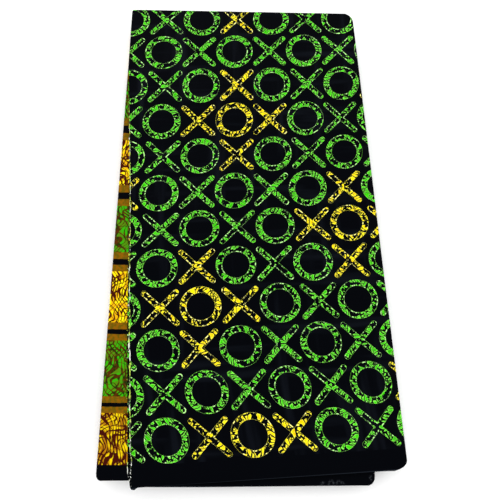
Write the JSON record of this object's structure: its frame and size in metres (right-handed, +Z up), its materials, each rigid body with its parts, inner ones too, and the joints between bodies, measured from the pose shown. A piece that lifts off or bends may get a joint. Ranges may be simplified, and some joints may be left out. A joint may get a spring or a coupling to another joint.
{
  "type": "folded ankara fabric",
  "caption": "Length of wax-print cotton cloth, doubled and fan-folded into a flat rectangular packet, with a raw end and a border strip showing at one side.",
  "frame": {"origin": "centre of the packet's footprint, on the surface that it lies on", "axes": "+X across the leaves towards the top leaf's fold, +Y from the selvages towards the doubling fold, +Z up out of the top leaf"},
  "size_m": [0.3284, 0.5958, 0.0247],
  "materials": {
    "ring_print": "woven cotton, black ground with green and yellow rings and crosses",
    "block_print": "woven cotton, yellow and green blocks with brown veins",
    "black_selvage": "woven cotton, plain black margin along the selvage",
    "hidden_leaves": "woven cotton, folded edges"
  },
  "bodies": {
    "root": {"top_leaf": "ring_print", "border_leaf": "block_print", "lower_leaf": "black_selvage", "folded_core": "hidden_leaves", "bottom_leaf": "ring_print"}
  },
  "joints": []
}
